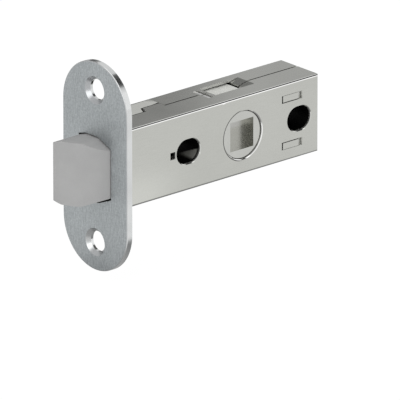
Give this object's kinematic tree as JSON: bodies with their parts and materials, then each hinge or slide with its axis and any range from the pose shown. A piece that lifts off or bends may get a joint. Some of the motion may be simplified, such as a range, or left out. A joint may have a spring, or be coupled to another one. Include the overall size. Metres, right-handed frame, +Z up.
{
  "type": "tubular door latch",
  "caption": "Tubular mortice door latch: folded steel case on a round-ended faceplate, bevelled nylon latch bolt drawn back by a square-spindle follower.",
  "frame": {"origin": "centre of the faceplate's outer face", "axes": "+X runs into the door along the case, -X is the way the bolt stands out, Y crosses the door's thickness, +Z is up along the faceplate"},
  "size_m": [0.0809, 0.0254, 0.0576],
  "materials": {
    "satin_steel": "satin brushed stainless steel, fine grain along its height",
    "plated_case": "smooth bright zinc plating on folded sheet steel",
    "grey_nylon": "fine matt moulded grey",
    "black_lining": "smooth moulded black",
    "zinc_casting": "fine as-cast zinc",
    "white_nylon": "natural moulded nylon",
    "plain_steel": "plain stamped steel",
    "spring_steel": "drawn spring wire"
  },
  "bodies": {
    "lock_case": {"faceplate": "satin_steel", "case": "plated_case", "front_screw_tube": "black_lining", "rear_screw_tube": "black_lining", "upper_spring_stop": "plated_case", "lower_spring_stop": "plated_case", "upper_spring": "spring_steel", "lower_spring": "spring_steel"},
    "follower": {"follower": "zinc_casting"},
    "latch_bolt": {"bolt_head": "grey_nylon", "near_tail_plate": "plain_steel", "far_tail_plate": "plain_steel", "upper_bolt_pin": "plain_steel", "lower_bolt_pin": "plain_steel", "upper_slider": "white_nylon", "lower_slider": "white_nylon", "upper_slider_rivet": "plain_steel", "lower_slider_rivet": "plain_steel", "upper_spring_guide_pin": "plain_steel", "lower_spring_guide_pin": "plain_steel"}
  },
  "joints": [
    {"name": "follower_turn", "type": "hinge", "parent": "lock_case", "child": "follower", "pos_m": [0.045, 0, 0], "axis": [0, 1, 0], "range_deg": [0, 63.79]},
    {"name": "bolt_slide", "type": "slide", "parent": "lock_case", "child": "latch_bolt", "axis": [1, 0, 0], "range_m": [0, 0.0093], "stiffness_N_per_m": 1300, "springref_m": -0.005, "deforming": ["upper_spring", "lower_spring"]}
  ],
  "couplings": [
    {"joint": "follower_turn", "follows": "bolt_slide", "rad_per_m": 119.71}
  ]
}
